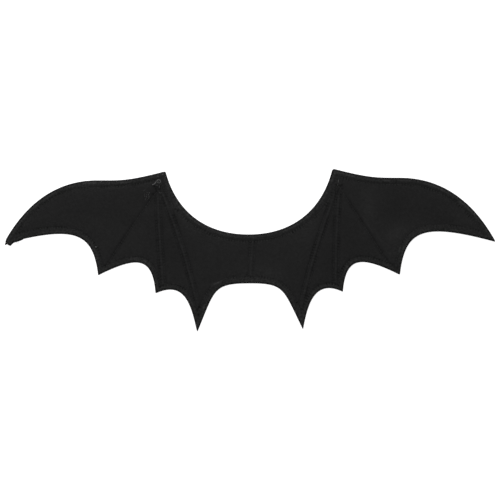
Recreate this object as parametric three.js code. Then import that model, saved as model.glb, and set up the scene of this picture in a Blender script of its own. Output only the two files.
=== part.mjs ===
import * as THREE from 'three';

// A pair of bat wings cut and sewn as one piece from two layers of felt, lying flat.
// Millimetres. +X runs to the right wing's tip, +Y towards the neck, +Z up from the surface.
// The origin is the middle of the outline's box, on the surface that the wings lie on.

// Pattern sizes. A spread is the distance between a left and a right point of the pattern.
// A drop is measured down from the higher shoulder.
const WING_SPAN = 482;
const TIP_DROP = 72;
const CREST_SPREAD = 297.3;
const CREST_DROP = 10.3;
const SHOULDER_SPREAD = 164.3;
const SHOULDER_DIFFERENCE = 2.1;
const NECK_DEPTH = 64.7;
const HEM_DROP = 112.1;
const INNER_SPREAD = 102.8;
const INNER_DROP = 158;
const MIDDLE_SPREAD = 183.5;
const MIDDLE_DROP = 121.2;
const OUTER_SPREAD = 295.9;
const OUTER_DROP = 103.8;
const CORNER_CUT = 1.5;

// Cloth and seams.
const FELT = 1.2;
const LAYER_GAP = 0.3;
const TOPSTITCH_MARGIN = 5.4;
const RIB_WIDTH = 5;
const HUB_SPREAD = 175.4;
const HUB_DROP = 17;
const CENTRE_LEAN = 3;
const PUFF = 1.3;
const PUFF_RUN = 2.8;

// Fastener patches under the shoulders.
const PATCH_SIDE = 20;
const PATCH_THICKNESS = 1.5;
const PATCH_OUTSET = 8;
const PATCH_BELOW_HUB = 9;
const DRAPE_EDGE = 4;
const DRAPE_RUN = 22;

// Mesh steps. A new point keeps a share of its own step from the points before it.
const CURVE_STEP = 1;
const OUTLINE_STEP = 4.5;
const SEAM_STEP = 4.2;
const FIELD_STEP = 11;
const KEEP_CLEAR = 0.36;

// Points of the pattern, each with its shares of the spread and of the drop on the two sides.
const POINTS = {
  tip: { spread: WING_SPAN, drop: TIP_DROP, left: [0.5, 1.02], right: [0.5, 0.985] },
  crest: { spread: CREST_SPREAD, drop: CREST_DROP, left: [0.503, 1.1], right: [0.497, 0.9] },
  shoulder: { spread: SHOULDER_SPREAD, drop: SHOULDER_DIFFERENCE, left: [0.505, 1], right: [0.495, 0] },
  neck: { spread: SHOULDER_SPREAD, drop: NECK_DEPTH, left: [0.006, 1], right: [-0.006, 1] },
  hem: { spread: INNER_SPREAD, drop: HEM_DROP, left: [-0.001, 1], right: [0.001, 1] },
  inner: { spread: INNER_SPREAD, drop: INNER_DROP, left: [0.496, 1.008], right: [0.504, 0.992] },
  middle: { spread: MIDDLE_SPREAD, drop: MIDDLE_DROP, left: [0.502, 1.004], right: [0.498, 0.996] },
  outer: { spread: OUTER_SPREAD, drop: OUTER_DROP, left: [0.503, 1.003], right: [0.497, 0.997] },
  hub: { spread: HUB_SPREAD, drop: HUB_DROP, left: [0.507, 1.035], right: [0.493, 0.97] },
};

// Stretches of the outline, the same on both sides. Each handle is a share of the stretch's
// own width and height, counted from its own end.
const STRETCHES = [
  { from: 'tip', to: 'crest', leave: [0.235, 0.64], arrive: [0.435, 0] },
  { from: 'crest', to: 'shoulder', leave: [0.35, 0], arrive: [0.545, 1.08] },
  { from: 'shoulder', to: 'neck', leave: [0.125, 0.64], arrive: [0.515, 0] },
  { from: 'hem', to: 'inner', leave: [0.725, 0], arrive: [0.345, 0.855] },
  { from: 'inner', to: 'middle', leave: [0.155, 0.605], arrive: [0.74, -0.37] },
  { from: 'middle', to: 'outer', leave: [0.05, 2.07], arrive: [0.68, -1.09] },
  { from: 'outer', to: 'tip', leave: [0.055, 1.4], arrive: [0.75, -0.58] },
];

// Runs between sharp corners, clockwise from the left tip. Each is one or two stretches.
const RUNS = [
  [['left', 'tip', 'crest'], ['left', 'crest', 'shoulder']],
  [['left', 'shoulder', 'neck'], ['right', 'neck', 'shoulder']],
  [['right', 'shoulder', 'crest'], ['right', 'crest', 'tip']],
  [['right', 'tip', 'outer']],
  [['right', 'outer', 'middle']],
  [['right', 'middle', 'inner']],
  [['right', 'inner', 'hem'], ['left', 'hem', 'inner']],
  [['left', 'inner', 'middle']],
  [['left', 'middle', 'outer']],
  [['left', 'outer', 'tip']],
];

// Ribs from each shoulder's hub to the topstitch's corner in a spike. Start and end are moved
// towards the middle by a share of RIB_WIDTH, and bow is the share of the rib's length by which
// it bends that way. A channel has 2 seams, one on each side, and a plain seam is 1.
const RIBS = [
  { side: 'left', spike: 'outer', start: 0.15, end: 0, bow: -0.012, seams: 1 },
  { side: 'left', spike: 'middle', start: -0.4, end: 0.7, bow: -0.006, seams: 2 },
  { side: 'left', spike: 'inner', start: 0.4, end: 0, bow: 0.025, seams: 2 },
  { side: 'right', spike: 'outer', start: -0.35, end: 0, bow: 0, seams: 1 },
  { side: 'right', spike: 'middle', start: 0, end: 0.45, bow: 0.01, seams: 2 },
  { side: 'right', spike: 'inner', start: 0.4, end: 0, bow: 0.023, seams: 2 },
];

const SIGN = { left: -1, right: 1 };

function patternPoint(side, name) {
  const row = POINTS[name];
  const [outShare, dropShare] = row[side];
  return new THREE.Vector2(SIGN[side] * outShare * row.spread, -dropShare * row.drop);
}

function stretchCurve([side, from, to]) {
  const forward = STRETCHES.find((row) => row.from === from && row.to === to);
  const row = forward ?? STRETCHES.find((entry) => entry.from === to && entry.to === from);
  const [leave, arrive] = forward ? [row.leave, row.arrive] : [row.arrive, row.leave];
  const start = patternPoint(side, from);
  const end = patternPoint(side, to);
  const reach = end.clone().sub(start);
  const first = new THREE.Vector2(start.x + leave[0] * reach.x, start.y + leave[1] * reach.y);
  const second = new THREE.Vector2(end.x - arrive[0] * reach.x, end.y - arrive[1] * reach.y);
  return new THREE.CubicBezierCurve(start, first, second, end);
}

// One run as a dense line, with its two sewn corners cut short.
function runLine(stretches) {
  const path = new THREE.CurvePath();
  stretches.forEach((stretch) => path.add(stretchCurve(stretch)));
  const length = path.getLength();
  const count = Math.round((length - 2 * CORNER_CUT) / CURVE_STEP);
  const line = [];
  for (let index = 0; index <= count; index += 1) {
    const along = CORNER_CUT + ((length - 2 * CORNER_CUT) * index) / count;
    line.push(path.getPointAt(along / length));
  }
  return line;
}

// The line moved sideways: positive is to its right-hand side.
function offsetLine(line, distance) {
  return line.map((point, index) => {
    const before = line[Math.max(index - 1, 0)];
    const after = line[Math.min(index + 1, line.length - 1)];
    const along = after.clone().sub(before).normalize();
    return new THREE.Vector2(point.x + along.y * distance, point.y - along.x * distance);
  });
}

function lineLength(line) {
  return line.slice(1).reduce((sum, point, index) => sum + point.distanceTo(line[index]), 0);
}

// Evenly spaced points along a line, both ends included.
function spaced(line, step) {
  const total = lineLength(line);
  const count = Math.max(1, Math.round(total / step));
  const result = [line[0].clone()];
  let walked = 0;
  for (let index = 1; index < line.length; index += 1) {
    const from = line[index - 1];
    const part = line[index].distanceTo(from);
    while (result.length < count && (total * result.length) / count <= walked + part) {
      const share = ((total * result.length) / count - walked) / part;
      result.push(from.clone().lerp(line[index], share));
    }
    walked += part;
  }
  result.push(line[line.length - 1].clone());
  return result;
}

// The share along the segment from a to b at which the one from c to d crosses it, or null.
function crossing(a, b, c, d) {
  const ab = b.clone().sub(a);
  const cd = d.clone().sub(c);
  const turn = ab.cross(cd);
  if (turn === 0) return null;
  const ac = c.clone().sub(a);
  const first = ac.cross(cd) / turn;
  const second = ac.cross(ab) / turn;
  return first >= 0 && first <= 1 && second >= 0 && second <= 1 ? first : null;
}

// The lines of a closed loop, each trimmed where it crosses the next one.
function trimmedLoop(lines) {
  const cuts = lines.map((line, number) => {
    const next = lines[(number + 1) % lines.length];
    for (let i = line.length - 1; i > line.length / 2; i -= 1) {
      for (let j = 1; j < next.length / 2; j += 1) {
        const share = crossing(line[i - 1], line[i], next[j - 1], next[j]);
        if (share !== null) {
          return { end: i, start: j, point: line[i - 1].clone().lerp(line[i], share) };
        }
      }
    }
    return { end: line.length, start: 0, point: line[line.length - 1].clone().lerp(next[0], 0.5) };
  });
  return lines.map((line, number) => {
    const before = cuts[(number + lines.length - 1) % lines.length];
    const after = cuts[number];
    return [before.point, ...line.slice(before.start, after.end), after.point];
  });
}

// A point moved towards the middle of the wings by a share of RIB_WIDTH.
function movedInwards(point, side, share) {
  return new THREE.Vector2(point.x - SIGN[side] * share * RIB_WIDTH, point.y);
}

function bowedLine(start, end, bow) {
  const middle = start.clone().lerp(end, 0.5);
  middle.x += 2 * bow * start.distanceTo(end);
  const count = Math.round(start.distanceTo(end) / CURVE_STEP);
  return new THREE.QuadraticBezierCurve(start, middle, end).getSpacedPoints(count);
}

const outlineRuns = RUNS.map(runLine);
const outline = outlineRuns.flat();
const topstitchRuns = trimmedLoop(outlineRuns.map((line) => offsetLine(line, TOPSTITCH_MARGIN)));

// The topstitch's corner inside a spike: the start of the run that leaves the spike clockwise.
function spikeCorner(side, spike) {
  const number = RUNS.findIndex(([[runSide, from]]) => runSide === side && from === spike);
  return topstitchRuns[number][0];
}

const ribs = RIBS.map(({ side, spike, start, end, bow, seams }) => {
  const from = movedInwards(patternPoint(side, 'hub'), side, start);
  const to = movedInwards(spikeCorner(side, spike), side, end);
  return { middle: bowedLine(from, to, -SIGN[side] * bow), seams };
});

// The centre channel runs from the neck's topstitch to the hem's, leaning a little.
const centreTop = patternPoint('left', 'neck').add(new THREE.Vector2(CENTRE_LEAN, -TOPSTITCH_MARGIN));
const centreFoot = patternPoint('left', 'hem').add(new THREE.Vector2(0, TOPSTITCH_MARGIN));
ribs.push({ middle: bowedLine(centreTop, centreFoot, 0), seams: 2 });

function distanceToLine(point, line) {
  let best = Infinity;
  for (let index = 1; index < line.length; index += 1) {
    const a = line[index - 1];
    const dx = line[index].x - a.x;
    const dy = line[index].y - a.y;
    const share = ((point.x - a.x) * dx + (point.y - a.y) * dy) / (dx * dx + dy * dy || 1);
    const held = Math.min(1, Math.max(0, share));
    best = Math.min(best, Math.hypot(point.x - a.x - held * dx, point.y - a.y - held * dy));
  }
  return best;
}

function isInside(point, loop) {
  let inside = false;
  loop.forEach((a, index) => {
    const b = loop[(index + 1) % loop.length];
    const level = (point.y - a.y) / (b.y - a.y);
    if (a.y > point.y !== b.y > point.y && point.x < a.x + level * (b.x - a.x)) {
      inside = !inside;
    }
  });
  return inside;
}

// Stitch rows on both sides of a channel's middle, as far as the edge topstitch lets them run.
const topstitch = topstitchRuns.flat();
function ribSeams({ middle, seams }) {
  if (seams === 1) return [middle];
  return [-1, 1].map((hand) => {
    const row = offsetLine(middle, (hand * RIB_WIDTH) / 2);
    return row.filter((point) => isInside(point, topstitch));
  });
}
const ribRows = ribs.flatMap(ribSeams).filter((row) => row.length > 1);
const seamLines = [...topstitchRuns, ...ribRows];

// Everything is moved so that the middle of the outline's box is the origin.
const box = new THREE.Box2().setFromPoints(outline);
const pageShift = box.getCenter(new THREE.Vector2()).negate();

const patchCentres = ['left', 'right'].map((side) => {
  const shift = new THREE.Vector2(SIGN[side] * PATCH_OUTSET, -PATCH_BELOW_HUB);
  return patternPoint(side, 'hub').add(shift);
});

// How far the felt is lifted where it lies over a patch.
function drape(point) {
  const away = patchCentres.map((centre) => {
    const overX = Math.max(0, Math.abs(point.x - centre.x) - PATCH_SIDE / 2 - DRAPE_EDGE);
    const overY = Math.max(0, Math.abs(point.y - centre.y) - PATCH_SIDE / 2 - DRAPE_EDGE);
    return Math.hypot(overX, overY);
  });
  const fall = THREE.MathUtils.smoothstep(Math.min(...away), 0, DRAPE_RUN);
  return (PATCH_THICKNESS + LAYER_GAP) * (1 - fall);
}

// How far the front layer stands up between the stitch rows and the sewn edge.
function puff(point) {
  const nearest = Math.min(...seamLines.map((line) => distanceToLine(point, line)));
  const toEdge = Math.min(...outlineRuns.map((line) => distanceToLine(point, line)));
  return PUFF * (1 - Math.exp(-Math.min(nearest, toEdge) / PUFF_RUN));
}

// Adds the points that stay clear of those already there.
function addPoints(points, extra, step) {
  extra.forEach((point) => {
    if (points.every((other) => other.distanceTo(point) >= KEEP_CLEAR * step)) points.push(point);
  });
}

// A field of points in offset rows, kept inside the edge topstitch.
function fieldPoints() {
  const points = [];
  const rowStep = (FIELD_STEP * Math.sqrt(3)) / 2;
  const rows = Math.ceil((box.max.y - box.min.y) / rowStep);
  const columns = Math.ceil((box.max.x - box.min.x) / FIELD_STEP);
  for (let row = 0; row <= rows; row += 1) {
    for (let column = 0; column <= columns; column += 1) {
      const x = box.min.x + (column + (row % 2) / 2) * FIELD_STEP;
      const y = box.min.y + row * rowStep;
      const point = new THREE.Vector2(x, y);
      if (isInside(point, topstitch)) points.push(point);
    }
  }
  return points;
}

// Triangles over a set of points, chosen so that no triangle's circle holds another point.
// They grow from one triangle that reaches far past the outline and is left out at the end.
const FAR_REACH = 20;
function triangulate(points) {
  const far = FAR_REACH * Math.max(box.max.x - box.min.x, box.max.y - box.min.y);
  const middle = box.getCenter(new THREE.Vector2());
  const all = [
    ...points,
    new THREE.Vector2(middle.x - far, middle.y - far),
    new THREE.Vector2(middle.x + far, middle.y - far),
    new THREE.Vector2(middle.x, middle.y + far),
  ];
  const circled = (a, b, c) => {
    const [p, q, r] = [all[a], all[b], all[c]];
    const twice = 2 * (p.x * (q.y - r.y) + q.x * (r.y - p.y) + r.x * (p.y - q.y));
    const [pp, qq, rr] = [p.lengthSq(), q.lengthSq(), r.lengthSq()];
    const x = (pp * (q.y - r.y) + qq * (r.y - p.y) + rr * (p.y - q.y)) / twice;
    const y = (pp * (r.x - q.x) + qq * (p.x - r.x) + rr * (q.x - p.x)) / twice;
    return { corners: [a, b, c], x, y, square: (p.x - x) ** 2 + (p.y - y) ** 2 };
  };
  const count = points.length;
  let triangles = [circled(count, count + 1, count + 2)];
  points.forEach((point, number) => {
    const rim = new Map();
    const kept = [];
    triangles.forEach((triangle) => {
      if ((point.x - triangle.x) ** 2 + (point.y - triangle.y) ** 2 >= triangle.square) {
        kept.push(triangle);
        return;
      }
      triangle.corners.forEach((corner, index) => {
        const next = triangle.corners[(index + 1) % 3];
        if (!rim.delete(`${next} ${corner}`)) rim.set(`${corner} ${next}`, [corner, next]);
      });
    });
    rim.forEach(([corner, next]) => kept.push(circled(corner, next, number)));
    triangles = kept;
  });
  return triangles.map((triangle) => triangle.corners).filter((corners) => Math.max(...corners) < count);
}

// A closed felt layer over the outline, whose underside stands at the given rise.
function feltLayer(points, rise) {
  const facets = triangulate(points).filter(([a, b, c]) => {
    const middle = points[a].clone().add(points[b]).add(points[c]).divideScalar(3);
    return isInside(middle, outlinePoints);
  });
  const rises = points.map(rise);
  const position = [0, FELT].flatMap((thickness) => points.flatMap((point, index) => {
    const placed = point.clone().add(pageShift);
    return [placed.x, placed.y, rises[index] + thickness];
  }));
  const over = points.length;
  const faces = [];
  const open = new Map();
  facets.forEach(([a, b, c]) => {
    faces.push(a + over, b + over, c + over, c, b, a);
    [[a, b], [b, c], [c, a]].forEach(([from, to]) => {
      if (!open.delete(`${to} ${from}`)) open.set(`${from} ${to}`, [from, to]);
    });
  });
  open.forEach(([from, to]) => faces.push(from, to, to + over, from, to + over, from + over));
  const geometry = new THREE.BufferGeometry();
  geometry.setAttribute('position', new THREE.Float32BufferAttribute(position, 3));
  geometry.setIndex(faces);
  geometry.computeVertexNormals();
  return geometry;
}

const outlinePoints = outlineRuns.flatMap((line) => spaced(line, OUTLINE_STEP));

function frontPanel() {
  const points = [...outlinePoints];
  const band = outlineRuns.map((line) => {
    const halfway = offsetLine(line, TOPSTITCH_MARGIN / 2);
    return halfway.filter((point) => isInside(point, outlinePoints));
  });
  const ridges = ribs.filter((rib) => rib.seams === 2).map((rib) => rib.middle);
  topstitchRuns.forEach((line) => addPoints(points, spaced(line, SEAM_STEP), SEAM_STEP));
  band.forEach((line) => addPoints(points, spaced(line, OUTLINE_STEP), OUTLINE_STEP));
  ribRows.forEach((row) => addPoints(points, spaced(row, SEAM_STEP), SEAM_STEP));
  ridges.forEach((line) => addPoints(points, spaced(line, SEAM_STEP), SEAM_STEP));
  addPoints(points, fieldPoints(), FIELD_STEP);
  return feltLayer(points, (point) => drape(point) + FELT + LAYER_GAP + puff(point));
}

function backPanel() {
  const points = [...outlinePoints];
  addPoints(points, fieldPoints(), FIELD_STEP);
  return feltLayer(points, drape);
}

function fastenerPatch() {
  return new THREE.BoxGeometry(PATCH_SIDE, PATCH_SIDE, PATCH_THICKNESS);
}

function namedMesh(name, geometry, color) {
  const material = new THREE.MeshStandardMaterial({ color, roughness: CLOTH_ROUGHNESS, metalness: 0 });
  const mesh = new THREE.Mesh(geometry, material);
  mesh.name = name;
  return mesh;
}

const FELT_BLACK = 0x202020;
const TAPE_BLACK = 0x1a1a1a;
const CLOTH_ROUGHNESS = 0.95;

const wings = new THREE.Group();
wings.add(namedMesh('back_panel', backPanel(), FELT_BLACK));
wings.add(namedMesh('front_panel', frontPanel(), FELT_BLACK));
['left', 'right'].forEach((side, index) => {
  const patch = namedMesh(`fastener_patch_${side}`, fastenerPatch(), TAPE_BLACK);
  const centre = patchCentres[index].clone().add(pageShift);
  patch.position.set(centre.x, centre.y, PATCH_THICKNESS / 2);
  wings.add(patch);
});

export default wings;
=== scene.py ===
"""A pair of sewn felt bat wings, laid flat on a table.

The pattern follows that of the solid frame, with the small departures of hand cutting and hand
sewing. Sizes are in metres. +X runs to the right wing's tip, +Y to the neck and +Z up from the
table.
"""

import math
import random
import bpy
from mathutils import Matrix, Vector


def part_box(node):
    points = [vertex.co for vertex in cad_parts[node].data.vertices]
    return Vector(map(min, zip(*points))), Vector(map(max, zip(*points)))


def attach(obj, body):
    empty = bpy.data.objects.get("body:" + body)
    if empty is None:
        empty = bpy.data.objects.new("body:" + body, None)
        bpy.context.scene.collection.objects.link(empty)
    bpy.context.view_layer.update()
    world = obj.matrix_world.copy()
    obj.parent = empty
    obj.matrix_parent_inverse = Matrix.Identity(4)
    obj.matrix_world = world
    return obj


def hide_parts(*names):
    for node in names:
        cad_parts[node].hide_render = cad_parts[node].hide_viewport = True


bl_info = {
    "name": "Bat Wings",
    "version": (1, 0, 0),
    "blender": (4, 5, 0),
    "location": "3D View > Sidebar > Bat Wings",
    "description": "Builds a pair of sewn felt bat wings with their stitches and loose threads",
    "category": "Add Mesh",
}

from types import SimpleNamespace

import bpy
import numpy as np
from mathutils import Vector, noise
from mathutils.geometry import delaunay_2d_cdt
from mathutils.kdtree import KDTree

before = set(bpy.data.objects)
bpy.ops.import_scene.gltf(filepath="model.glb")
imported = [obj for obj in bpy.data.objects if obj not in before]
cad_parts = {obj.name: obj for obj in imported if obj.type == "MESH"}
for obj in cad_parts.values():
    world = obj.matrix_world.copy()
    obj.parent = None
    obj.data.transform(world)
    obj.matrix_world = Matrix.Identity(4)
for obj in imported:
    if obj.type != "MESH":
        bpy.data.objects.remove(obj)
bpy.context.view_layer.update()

MM = 0.001
SIGN = {"left": -1, "right": 1}

# Space kept under the lowest layer and between the two.
CLEARANCE = 0.05 * MM

# Thickness of the front layer at the very rim of its turned edge.
EDGE_LIP = 0.25 * MM

# How far the matted fibres reach in from the edge.
FUZZ_REACH = 5.5 * MM

# Step between the points that stand for edges and seams wherever distances are measured.
SAMPLE = 0.2 * MM

# Points of the pattern: the spread and the drop that place them, then the shares of both that
# count on the left side and on the right side.
POINTS = {
    "tip": ("wing_span", "tip_drop", (0.5, 1.02), (0.5, 0.985)),
    "crest": ("crest_spread", "crest_drop", (0.503, 1.09), (0.497, 0.885)),
    "shoulder": ("shoulder_spread", "shoulder_difference", (0.505, 1.08), (0.4975, 0.25)),
    "neck": ("shoulder_spread", "neck_depth", (0.006, 1), (-0.006, 1)),
    "hem": ("inner_spread", "hem_drop", (-0.001, 1), (0.001, 1)),
    "inner": ("inner_spread", "inner_drop", (0.5, 1.006), (0.514, 0.997)),
    "middle": ("middle_spread", "middle_drop", (0.502, 1.004), (0.498, 0.996)),
    "outer": ("outer_spread", "outer_drop", (0.503, 1.003), (0.497, 0.997)),
    "hub": ("hub_spread", "hub_drop", (0.507, 1.035), (0.493, 0.97)),
}

# Stretches of the outline, with the side where the two sides were cut differently. Each handle is
# a share of the stretch's own width and height, counted from its own end.
STRETCHES = {
    ("tip", "crest"): ((0.235, 0.64), (0.435, 0)),
    ("crest", "shoulder"): ((0.35, 0), (0.545, 1.08)),
    ("shoulder", "neck"): ((0.125, 0.64), (0.515, 0)),
    ("left", "hem", "inner"): ((0.71, 0), (0.332, 0.87)),
    ("right", "hem", "inner"): ((0.67, 0), (0.378, 0.875)),
    ("left", "inner", "middle"): ((0.13, 0.605), (0.74, -0.37)),
    ("right", "inner", "middle"): ((0.105, 0.605), (0.74, -0.37)),
    ("middle", "outer"): ((0.05, 2.07), (0.68, -1.09)),
    ("outer", "tip"): ((0.055, 1.4), (0.75, -0.58)),
}

# Runs between sharp corners, clockwise from the left tip, each with these five columns:
# - margins: shares of the topstitch margin that the sewer kept, evenly spaced from start to end;
# - rolls: millimetres by which the turned edge rolls out past the pattern's line at both ends;
# - pull: how hard the topstitch is drawn in;
# - crest: how strong the painted highlight on the rolled rim is;
# - stretches: the run's stretches of the outline.
RUNS = (
    (
        (1.1, 1.06, 1.12, 1.24, 1.08, 1.12),
        (0.4, 0.05),
        0.45,
        2.6,
        (("left", "tip", "crest"), ("left", "crest", "shoulder")),
    ),
    (
        (1.2, 1.27, 1.1, 1.18, 1.26, 1.14, 1.4, 1.2),
        (0.5, 0.65),
        0.05,
        2.1,
        (("left", "shoulder", "neck"), ("right", "neck", "shoulder")),
    ),
    (
        (1.02, 1.15, 1.12, 1.15, 1.28, 1.3),
        (0.95, 0.05),
        0.05,
        3.1,
        (("right", "shoulder", "crest"), ("right", "crest", "tip")),
    ),
    ((0.95, 1.14, 1, 1), (0.55, 0.55), 0.3, 1.7, (("right", "tip", "outer"),)),
    ((0.94, 0.94), (0.2, 0.2), 0.85, 1.6, (("right", "outer", "middle"),)),
    ((0.82, 0.94), (-0.15, -0.35), 0.6, 1.4, (("right", "middle", "inner"),)),
    (
        (1.16, 0.98, 1.06, 1.16, 1.16),
        (0.4, 0.5),
        0.35,
        1.7,
        (("right", "inner", "hem"), ("left", "hem", "inner")),
    ),
    ((0.94, 0.76), (0.35, 0.35), 0.65, 2, (("left", "inner", "middle"),)),
    ((0.92, 0.92), (0.3, 0.3), 1, 1.4, (("left", "middle", "outer"),)),
    ((1.04, 1.06, 1.3, 1.12), (-0.1, -0.2), 1, 1.7, (("left", "outer", "tip"),)),
)

# How a seam is sewn: its pull, the width of its groove and the strength of the painted highlight on
# its crest. The topstitch takes its pull and its crest from its run.
TOPSTITCH_GROOVE = 0.9 * MM
SINGLE_ROW = (1.55, 1.7 * MM, 1.7)
CHANNEL_ROW = (1.6, 1.25 * MM, 1.7)

# Ribs from a shoulder's hub to a spike: side, spike, shares of the rib width by which the start
# and the end move towards the middle, bow as a share of the length, number of stitch rows.
RIBS = (
    ("left", "outer", 0.25, 0.65, -0.012, 1),
    ("left", "middle", -0.3, 0.5, -0.006, 2),
    ("left", "inner", 0.2, 0.15, 0.022, 2),
    ("right", "outer", -0.1, 1.02, -0.003, 1),
    ("right", "middle", -0.3, 0.45, 0.01, 2),
    ("right", "inner", -0.1, 0.25, 0.023, 2),
)

# The worn left tip: places to the right of the tip's point and above it, in millimetres, from
# the lower edge round to the upper edge.
WORN_TIP = (
    (18.2, 3.8),
    (15.4, 2.75),
    (12.2, 1.7),
    (10.2, 1.3),
    (8.8, 0.4),
    (7.7, -0.9),
    (6.6, -2.1),
    (4.9, -1.6),
    (3.4, -0.3),
    (2.3, -0.7),
    (0.8, -1.5),
    (1.2, 0.2),
    (1.8, 1.3),
    (1.5, 2.9),
    (2.3, 4.3),
)

# Broad swells in the field of the front: place, radius and height in millimetres.
SWELLS = (
    (118, 34, 20, 0.55),
    (145, 8, 17, 0.5),
    (-154, 46, 24, 0.5),
    (-118, 20, 20, -0.35),
    (13, -31, 14, 0.45),
    (-60, -18, 16, -0.3),
    (62, 30, 16, -0.3),
    (188, 32, 22, 0.35),
    (-190, 28, 20, 0.3),
    (100, -8, 15, 0.3),
)

# Soft wrinkles in the field of the front: size in millimetres, layer of the noise, share of height.
WRINKLES = (
    (21, 3, 1),
    (9, 7, 0.6),
    (4, 9, 0.16),
)

# Painted highlights and painted shade where the cloth catches or loses light, glints among them:
# place, half length and half width in millimetres, turn in degrees, and how much lighter or darker
# it is painted.
PAINTED_LIGHT = (
    (-237.5, 7.3, 1.7, 0.9, 92, 5),
    (-234.7, 6.5, 1.2, 0.8, 0, 2),
    (-231, 12, 9, 5, 45, -0.2),
    (-222, 10.5, 12, 1, 14, -0.8),
    (-219.9, 33.1, 18, 1.2, 49, 0.8),
    (-199, 18.2, 10, 0.6, 7, -1.4),
    (-178, 20.2, 11, 1.3, 0, 0.6),
    (-160.5, 63.2, 11, 1.5, 5, 1.3),
    (-155.5, 66, 13, 3, 4, 1.5),
    (-153.5, 65.6, 3, 0.8, 5, 3),
    (-141, 38, 22, 10, -15, -0.3),
    (-139, 49, 50, 13, 5, -0.35),
    (-115.9, -8.5, 1.4, 0.9, 0, 2.5),
    (-111.4, -8.2, 1.7, 1, 0, 2.5),
    (-105.5, -10, 8, 1.8, -15, 0.6),
    (-102.5, -10.8, 2.5, 0.7, -40, 4.5),
    (-99, 65, 7, 4, 8, 0.7),
    (-98.1, -15.8, 1.2, 1, 0, 3),
    (-98, -10.7, 1.2, 1.2, 0, 4),
    (-97, 50, 12, 10, 0, -0.4),
    (-95, 9, 11, 8, 90, -0.5),
    (-94.6, 55, 1.8, 0.8, 0, -2),
    (-93.9, -24.2, 4, 0.6, -71, 2.2),
    (-93.3, 62.4, 0.9, 0.9, 0, -2.5),
    (-92.2, 60.1, 1, 1, 0, -2.5),
    (-91, 58.5, 7, 5, 0, -0.7),
    (-88.5, 60.3, 1, 1, 0, -2.5),
    (-78, 23, 7, 8, 90, 0.5),
    (-74, -32.5, 11, 3, 0, 0.5),
    (-74, 0, 22, 12, -75, -0.9),
    (-70.6, 6.7, 1, 0.9, 0, -1.6),
    (-69.4, 16.3, 0.9, 0.8, 0, 1.8),
    (-69.4, 1.9, 1, 0.9, 0, -1.6),
    (-68.5, 38.5, 19, 4.5, -57, 1.2),
    (-66.3, 3.5, 0.8, 1.6, 0, 1.6),
    (-63.4, 1.9, 0.9, 1, 0, -1.4),
    (-51.1, -61.3, 0.9, 0.8, 0, 3),
    (-51, -71, 6, 2.2, 85, 0.8),
    (-50.3, -63.3, 1.2, 1.1, 0, -4),
    (-50, -57, 7, 2.4, 75, -1.5),
    (-49.3, -56.3, 1.1, 1.1, 0, -4),
    (-49.2, -58.2, 0.8, 0.8, 0, 3),
    (-44.4, -54.7, 3.2, 0.7, 60, 4),
    (-32.3, -32.5, 3.9, 0.75, 25, 7.5),
    (-31.5, -30.3, 9, 1, 28, 1.2),
    (-15.5, -28.8, 1.4, 0.7, 10, 2.5),
    (-8, -20, 24, 6, 0, 0.35),
    (1.1, -8, 19, 0.9, 85, 0.4),
    (20, -25, 13, 10, 0, 1.3),
    (44, -25, 12, 8, 90, -0.3),
    (51.5, -66, 8, 3, 105, 1.5),
    (57.5, 34, 22, 3.5, 50, 0.5),
    (58, 20, 14, 9, 40, 0.8),
    (59, 9, 7, 8, 90, 0.35),
    (76, -15, 20, 9, 100, -0.55),
    (82, 68, 8, 4, 60, 0.8),
    (87.3, 15, 38, 0.9, 91, 0.5),
    (98.5, 4.5, 18, 12, 90, -0.4),
    (114.5, 27, 12, 0.8, -57, 1.4),
    (117, 39, 18, 7, 88, 1.6),
    (118, 9, 6, 6, 0, -0.5),
    (127, 12, 15, 0.8, -57, 0.7),
    (128, -8.5, 9, 1.5, -25, 0.7),
    (130, 67.9, 13, 1, -3, 1.8),
    (137.7, -12.2, 6, 0.8, -52, -1.5),
    (138, -5, 10, 6, 80, 0.7),
    (142, 49, 17, 12, 90, -0.5),
    (143.5, 15, 15, 9, 30, 1.8),
    (144, -1.5, 10, 3, 80, 0.7),
    (144.3, -17.7, 1.2, 1, 0, -2),
    (144.5, -8.8, 2.5, 0.8, 90, -1.5),
    (147.3, 1.2, 3.5, 0.7, 75, 6),
    (149, -11.5, 7, 1, 83, 1.4),
    (150.3, -1.2, 5, 0.6, 80, 3),
    (150.5, 36, 1.8, 0.7, 20, 1.2),
    (152.4, 3.9, 5, 0.6, 58, 3.5),
    (159, 14, 5, 2, 42, 1),
    (165, 22.5, 12, 3, 25, 0.6),
    (172, 50, 26, 14, -15, -0.2),
    (180, 61.5, 3, 1, -25, 1.5),
    (188, 34, 2.4, 0.7, -25, 1),
    (195, 25.5, 16, 2.5, 3, 0.7),
    (206, 45, 2.5, 1.4, -45, 1.8),
    (213, 28, 22, 6, -38, 0.7),
    (220.2, 36.1, 16, 1.2, -48, 1.5),
    (234.5, 14.2, 2.5, 1, -50, 1.5),
)

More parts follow.
